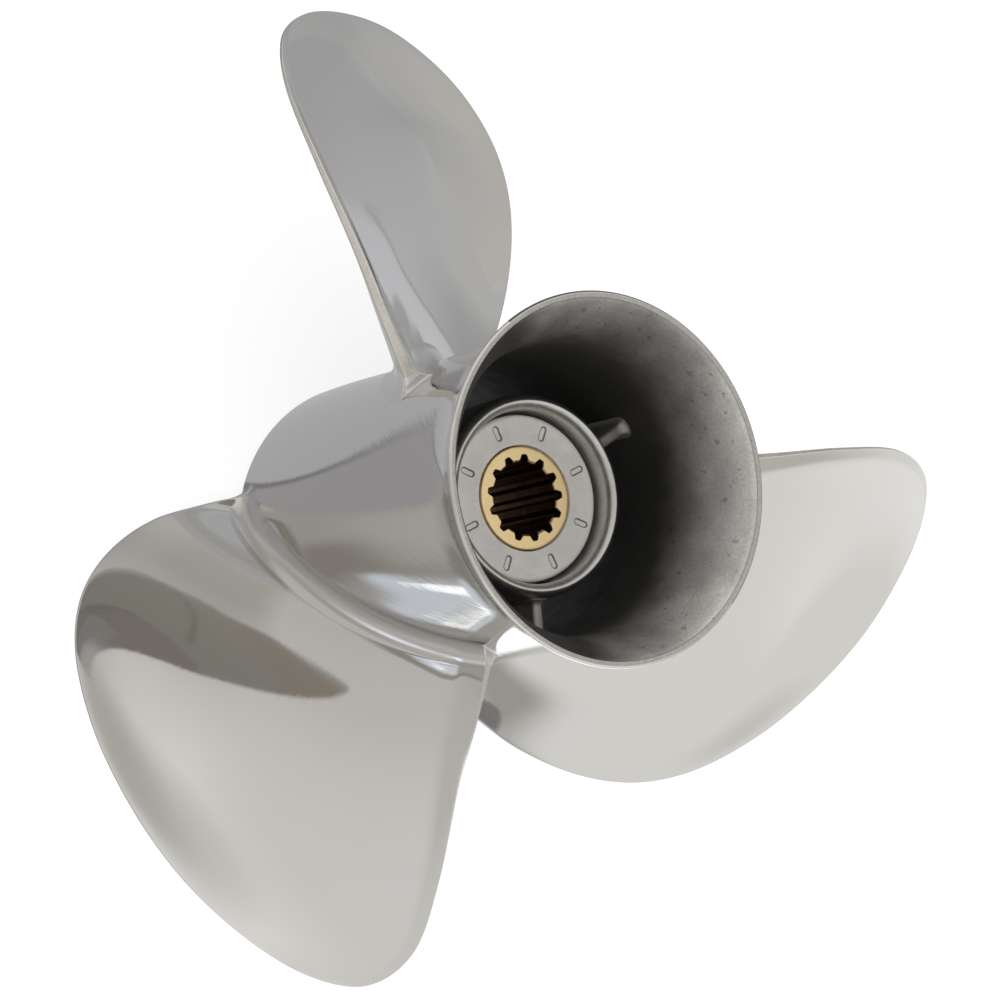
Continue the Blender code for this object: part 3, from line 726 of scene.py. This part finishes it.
def makeBushing():
    # polar grid; the face sinks by depth * smoothstep(inside distance / wall) in eight pill shapes, where the
    # distance to a pill is length of (radial excess over its straight part, tangential offset) less half its width
    marks, circle, pill = bushing["marks"], bushing["markCircle"], bushing["markWidth"] / 2
    pitch = 2 * np.pi / marks
    reach = (pill + bushing["margin"]) / circle
    onMark = np.linspace(-reach, reach, bushing["columnsOnMark"])
    between = np.linspace(reach, pitch - reach, bushing["columnsBetween"] + 2)[1:-1]
    one = np.concatenate([onMark, between])
    local = np.tile(one, marks)
    angle = math.radians(bushing["firstMark"]) + local + np.repeat(np.arange(marks) * pitch, len(one))
    local = np.where(local > pitch / 2, local - pitch, local)

    top, edge, bore, body, fit = (bushing[key] for key in ("top", "edge", "bore", "body", "fit"))
    collar, middle, bottom = top - bushing["collar"], bushing["middle"], bushing["bottom"]
    ease, large = bushing["boreRound"], bushing["round"]
    inner = arcPoints(bore + ease, top - ease, ease, 180, 90, bushing["boreSteps"])
    outer = arcPoints(edge - large, top - large, large, 90, 0, bushing["roundSteps"])
    faceR = np.linspace(inner[-1, 0], outer[0, 0], bushing["faceRows"])[1:-1]
    share = (faceR - faceR[0]) / (faceR[-1] - faceR[0])
    face = np.stack([faceR, top - bushing["dish"] * np.sin(np.pi * share)], axis=1)
    lower = np.array([
        [edge, collar], [body, collar - bushing["collarEase"]], [body, middle], [body, bottom],
        [fit, bottom], [fit, middle], [fit, collar], [bore, collar + bushing["boreEase"]],
    ])
    profile = np.concatenate([inner, face, outer, lower])
    radius, height = (profile[:, i][:, None] * np.ones(len(angle)) for i in (0, 1))
    onFace = np.zeros((len(profile), 1), bool)
    onFace[len(inner) - 1:len(inner) + len(face) + 1] = True
    past = np.maximum(np.abs(radius - circle) - (bushing["markLength"] / 2 - pill), 0.0)
    inside = pill - np.hypot(past, radius * local)
    sunk = bushing["markDepth"] * smooth(inside / bushing["markWall"]) * onFace
    points = np.stack([radius * np.cos(angle), radius * np.sin(angle), height - sunk], axis=-1)
    faces = gridFaces(len(profile), len(angle), True)
    # painted shade: the faces on the marks' walls take the dark finish
    wall = ((inside > bushing["lineStart"]) & (inside < bushing["markWall"]) & onFace).astype(int)
    surfaces = [finishes["resin"], finishes["markShade"]]
    piece = makePiece("rubberBushing", points, faces, surfaces, wall.reshape(-1))
    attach(piece, "root")
    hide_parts("bushing")


makeBushing()
print("bushing made")


sleeve = {
    "top": 0.0905, "length": 0.074, "radius": 0.0147, "ease": 0.0005, "teeth": 13, "firstGroove": 13.85,
    # half a groove and half a tooth: angle from the groove's middle in degrees, radius in millimetres
    "outline": [
        [0.0, 12.36], [1.6, 12.36], [2.9, 12.34], [3.7, 12.26], [4.3, 12.08], [4.9, 11.80], [5.7, 11.42],
        [6.6, 11.0], [7.4, 10.66], [7.9, 10.48], [8.6, 10.40], [9.6, 10.38], [11.0, 10.38], [12.4, 10.38],
    ],
    "lipGroove": 0.00012, "lipTooth": 0.00052, "lipDepth": 0.0005, "lipShares": (0.25, 0.6, 1.0), "lipPower": 1.3,
    "footEase": 0.0006, "boreRows": 24, "faceRows": 8, "outsideRows": 5, "sharpAngle": 25.0,
}


def makeSleeve():
    # the bore's outline, groove and tooth, repeated round the axis and carried down; at the face it opens by a lip
    # that is wider on the teeth; the outside is a plain turned ring
    half = np.array(sleeve["outline"])
    pitch = 360.0 / sleeve["teeth"]
    angle = np.concatenate([half[:, 0], [pitch / 2], pitch - half[:0:-1, 0]])
    tooth = np.concatenate([half[:, 1], [half[-1, 1]], half[:0:-1, 1]])
    starts = sleeve["firstGroove"] + pitch * np.arange(sleeve["teeth"])
    turn = np.radians((angle[None, :] + starts[:, None]).reshape(-1))
    boreR = np.tile(tooth, sleeve["teeth"]) / 1000
    depth = (half[0, 1] / 1000 - boreR) / ((half[0, 1] - half[-1, 1]) / 1000)
    lip = sleeve["lipGroove"] + (sleeve["lipTooth"] - sleeve["lipGroove"]) * depth
    top, bottom = sleeve["top"], sleeve["top"] - sleeve["length"]
    ringR, ease, foot, sunk = sleeve["radius"], sleeve["ease"], sleeve["footEase"], sleeve["lipDepth"]

    # rings up the bore, over the lip and the face, and down the outside
    rings = [(boreR, z) for z in np.linspace(bottom + foot, top - sunk, sleeve["boreRows"])]
    rings += [(boreR + lip * share, top - sunk * (1 - share) ** sleeve["lipPower"]) for share in sleeve["lipShares"]]
    for share in np.linspace(0, 1, sleeve["faceRows"] + 1)[1:]:
        rings.append(((boreR + lip) * (1 - share) + (ringR - ease) * share, top))
    rings += [tuple(point) for point in arcPoints(ringR - ease, top - ease, ease, 90, 0, 3)[1:]]
    rings += [(ringR, z) for z in np.linspace(top - ease, bottom + ease, sleeve["outsideRows"] + 1)[1:]]
    rings += [(ringR - ease, bottom), (boreR + foot, bottom)]
    radius, z = (np.array([ring[i] * np.ones(len(turn)) for ring in rings]) for i in (0, 1))
    points = np.stack([radius * np.cos(turn), radius * np.sin(turn), z], axis=-1)
    # painted shade: the bore's rings take the dark brown finish
    dark = np.zeros((len(rings), len(turn)), int)
    dark[:sleeve["boreRows"] - 1] = 1
    faces = gridFaces(len(rings), len(turn), True)
    surfaces = [finishes["brass"], finishes["bore"]]
    piece = makePiece("splineSleeve", points, faces, surfaces, dark.reshape(-1), sleeve["sharpAngle"])
    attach(piece, "root")
    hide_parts("spline_sleeve")


makeSleeve()
print("spline sleeve made")


view = {
    "place": (0.002317, 0.288969, 0.529779), "lens": 67.212, "sensor": 36.0,
    "right": (-0.23037, -0.81988, 0.52414), "up": (0.97310, -0.19541, 0.12203),
    "back": (0.00237, 0.53815, 0.84284),
}


def makeCamera():
    data = bpy.data.cameras.new("camera")
    data.lens = view["lens"]
    data.sensor_width = view["sensor"]
    camera = addObject("camera", data)
    turn = Matrix((view["right"], view["up"], view["back"])).transposed().to_4x4()
    camera.matrix_world = Matrix.Translation(view["place"]) @ turn
    bpy.context.scene.camera = camera


floorPaper = {
    "size": 60.0, "dark": (0.53, 0.54, 0.56), "light": (0.55, 0.56, 0.58), "grainScale": 40.0, "rough": 0.8,
    "glow": 0.70,
}
# tones of the card by place on it: each zone is laid over the ones before; a range is where the zone fades in
# (x, y) or out (xEnd, yEnd), and past is how far y is beyond a curve a + b x + c x^2, or how near it for a line
reflectionCard = {
    "size": 6.0, "base": (0.600, 0.600, 0.605),
    "curves": {
        "crease": (-0.0815, 0.207, -8.6), "ridge": (0.0023, 2.057, -17.0), "lower": (4.529, -38.93, 85.0),
        "right": (0.757, -2.42, 0.0),
    },
    "zones": [
        {"colour": (0.490, 0.490, 0.495), "x": (0.02, 0.24)},
        {"colour": (0.450, 0.450, 0.455), "y": (-0.30, -0.09), "xEnd": (0.03, 0.09)},
        {"colour": (0.450, 0.450, 0.450), "x": (0.10, 0.13), "y": (-0.20, -0.16)},
        {"colour": (0.640, 0.645, 0.665), "curve": "crease", "past": (0.0, 0.006), "xEnd": (0.12, 0.15),
         "yEnd": (-0.07, -0.02)},
        {"colour": (0.430, 0.430, 0.435), "curve": "crease", "line": (0.0008, 0.003), "x": (0.03, 0.045),
         "xEnd": (0.11, 0.13)},
        {"colour": (0.520, 0.520, 0.530), "y": (-0.05, -0.01), "xEnd": (0.10, 0.13)},
        {"colour": (0.410, 0.395, 0.405), "curve": "ridge", "past": (-0.002, 0.003), "y": (0.028, 0.034)},
        {"colour": (0.260, 0.250, 0.260), "curve": "ridge", "line": (0.0005, 0.003), "y": (0.028, 0.034)},
        {"colour": (0.690, 0.685, 0.670), "x": (0.085, 0.105), "y": (0.04, 0.07), "xEnd": (0.165, 0.185)},
        {"colour": (0.430, 0.415, 0.375), "x": (0.18, 0.21), "y": (-0.22, -0.02)},
        {"colour": (0.375, 0.345, 0.325), "curve": "lower", "past": (0.0, 0.006), "x": (0.18, 0.20),
         "xEnd": (0.27, 0.30)},
        {"colour": (0.300, 0.285, 0.260), "curve": "lower", "line": (0.001, 0.006), "x": (0.20, 0.21),
         "xEnd": (0.26, 0.28)},
        {"colour": (0.300, 0.285, 0.250), "curve": "right", "line": (0.002, 0.009), "x": (0.25, 0.27),
         "xEnd": (0.34, 0.37), "yEnd": (0.09, 0.12)},
        {"colour": (0.430, 0.385, 0.330), "x": (0.36, 0.46), "y": (-0.10, 0.00)},
        {"colour": (0.470, 0.470, 0.440), "x": (0.70, 1.10), "y": (-0.22, -0.05)},
        {"colour": (1.600, 1.600, 1.600), "xEnd": (-0.088, -0.072), "y": (-0.22, -0.12), "yEnd": (0.12, 0.22)},
    ],
}


def floorFinish():
    material, tree, shader = newFinish("floorPaper")
    grain = noise(tree, objectPlace(tree), floorPaper["grainScale"])
    tree.links.new(blendColour(tree, grain, floorPaper["dark"], floorPaper["light"]), shader.inputs["Base Color"])
    shader.inputs["Roughness"].default_value = floorPaper["rough"]
    shader.inputs["Emission Color"].default_value = (1.0, 1.0, 1.0, 1.0)
    shader.inputs["Emission Strength"].default_value = floorPaper["glow"]
    return material


def cardFinish():
    material, tree, shader = newFinish("cardTones")
    tree.nodes.remove(shader)
    x, y, _ = splitPlace(tree)
    beyond = {}
    for name, (a, b, c) in reflectionCard["curves"].items():
        curve = mathNode(tree, "MULTIPLY_ADD", mathNode(tree, "MULTIPLY_ADD", x, c, b), x, a)
        beyond[name] = mathNode(tree, "SUBTRACT", y, curve)
    colour = reflectionCard["base"]
    for zone in reflectionCard["zones"]:
        masks = []
        for key, value in (("x", x), ("y", y)):
            if key in zone:
                masks.append(softStep(tree, value, *zone[key]))
            if key + "End" in zone:
                masks.append(softStep(tree, value, *zone[key + "End"], 1.0, 0.0))
        if "past" in zone:
            masks.append(softStep(tree, beyond[zone["curve"]], *zone["past"]))
        if "line" in zone:
            near = mathNode(tree, "ABSOLUTE", beyond[zone["curve"]])
            masks.append(softStep(tree, near, *zone["line"], 1.0, 0.0))
        share = masks[0]
        for mask in masks[1:]:
            share = mathNode(tree, "MULTIPLY", share, mask)
        colour = blendColour(tree, share, colour, zone["colour"])
    glow = node(tree, "ShaderNodeEmission", Color=colour)
    tree.links.new(glow.outputs["Emission"], tree.nodes["Material Output"].inputs["Surface"])
    return material


def makeSheet(name, size, material):
    # a flat square in the plane z = 0
    corners = np.array([(-0.5, -0.5, 0), (0.5, -0.5, 0), (0.5, 0.5, 0), (-0.5, 0.5, 0)]) * size
    mesh = bpy.data.meshes.new(name)
    mesh.from_pydata(corners.tolist(), [], [(0, 1, 2, 3)])
    mesh.materials.append(material)
    return addObject(name, mesh)


def makeFloor():
    floor = makeSheet("floor", floorPaper["size"], floorFinish())
    floor.visible_glossy = False
    # the table as the polish sees it: a grey card with a lighter side, seen only in reflections
    card = makeSheet("reflectionCard", reflectionCard["size"], cardFinish())
    for ray in ("camera", "diffuse", "shadow", "transmission", "volume_scatter"):
        setattr(card, "visible_" + ray, False)


# studio light by direction: azimuth and height in degrees, half sizes, softness, colour and how much it adds
studio = {
    "base": (0.65, 0.632, 0.602), "backdrop": (1.0, 1.0, 1.0), "edgeOn": (0.02, 0.08), "widest": 80.0,
    "panels": [
        {"azimuth": 160, "height": 42, "half": (50, 26), "soft": 8, "colour": (0.30, 0.31, 0.31)},
        {"azimuth": 6, "height": 46, "half": (34, 22), "soft": 18, "colour": (0.22, 0.22, 0.22)},
        {"azimuth": 52, "height": 15, "half": (1.9, 0.9), "soft": 0.5, "tilt": 4, "colour": (1.9, 2.0, 2.0)},
        {"azimuth": 55.6, "height": 17.2, "half": (1.6, 1.2), "soft": 0.7, "tilt": 4, "colour": (1.5, 1.6, 1.6)},
        {"azimuth": 54, "height": 12.6, "half": (8.5, 3.2), "soft": 2, "tilt": 4, "colour": (0.50, 0.59, 0.74)},
        {"azimuth": 35, "height": 8, "half": (10, 11), "soft": 5, "colour": (-0.20, -0.21, -0.215)},
        {"azimuth": 73, "height": 14, "half": (8, 6), "soft": 4, "colour": (-0.12, -0.11, -0.08)},
        {"azimuth": -38, "height": 22, "half": (16, 12), "soft": 8, "colour": (-0.08, -0.08, -0.08)},
        {"azimuth": -30, "height": 5, "half": (12, 7), "soft": 5, "colour": (-0.15, -0.15, -0.15)},
        {"azimuth": -89, "height": 8, "half": (13, 9), "soft": 8, "colour": (-0.08, -0.06, -0.03)},
        {"azimuth": -83, "height": 0, "half": (10, 6), "soft": 5, "colour": (-0.08, -0.075, -0.065)},
        {"azimuth": 116, "height": 30, "half": (8, 12), "soft": 5, "colour": (-0.47, -0.48, -0.48)},
        {"azimuth": -95, "height": 62, "half": (50, 22), "soft": 14, "colour": (0.20, 0.20, 0.20)},
    ],
}


def panelLight(tree, direction, panel):
    # mask of a soft rectangle round a centre direction: its two offs are tangents of the angles away from it
    azimuth, height, tilt = (math.radians(panel.get(key, 0)) for key in ("azimuth", "height", "tilt"))
    level = np.array([math.cos(azimuth), math.sin(azimuth), 0.0])
    centre = level * math.cos(height) + np.array([0.0, 0.0, math.sin(height)])
    side = np.array([-math.sin(azimuth), math.cos(azimuth), 0.0])
    rise = np.cross(centre, side)
    across = side * math.cos(tilt) + rise * math.sin(tilt)
    upwards = rise * math.cos(tilt) - side * math.sin(tilt)
    parts = []
    for axis in (centre, across, upwards):
        dot = node(tree, "ShaderNodeVectorMath", operation="DOT_PRODUCT", Vector=direction)
        dot.inputs[1].default_value = axis
        parts.append(dot.outputs["Value"])
    mask = softStep(tree, parts[0], *studio["edgeOn"])
    front = mathNode(tree, "MAXIMUM", parts[0], studio["edgeOn"][0])
    for part, half in zip(parts[1:], panel["half"]):
        off = mathNode(tree, "ABSOLUTE", mathNode(tree, "DIVIDE", part, front))
        inner = math.tan(math.radians(max(half - panel["soft"], 0.0)))
        outer = math.tan(math.radians(min(half + panel["soft"], studio["widest"])))
        mask = mathNode(tree, "MULTIPLY", mask, softStep(tree, off, inner, outer, 1.0, 0.0))
    return mask


def makeWorld():
    world = bpy.data.worlds.new("studio")
    bpy.context.scene.world = world
    world.use_nodes = True
    tree = world.node_tree
    direction = node(tree, "ShaderNodeTexCoord").outputs["Generated"]
    total = studio["base"]
    for panel in studio["panels"]:
        made = node(tree, "ShaderNodeVectorMath", operation="MULTIPLY_ADD", Vector=panelLight(tree, direction, panel))
        made.inputs[1].default_value = panel["colour"]
        if isinstance(total, tuple):
            made.inputs[2].default_value = total
        else:
            tree.links.new(total, made.inputs[2])
        total = made.outputs["Vector"]
    # past the floor's end the camera sees plain white paper, while all other rays see the panels
    plain = node(tree, "ShaderNodeLightPath").outputs["Is Camera Ray"]
    seen = blendColour(tree, plain, total, studio["backdrop"])
    tree.links.new(seen, tree.nodes["Background"].inputs["Color"])


makeCamera()
makeFloor()
makeWorld()
bpy.context.scene.view_settings.view_transform = "Standard"
print("camera, floor and light made")
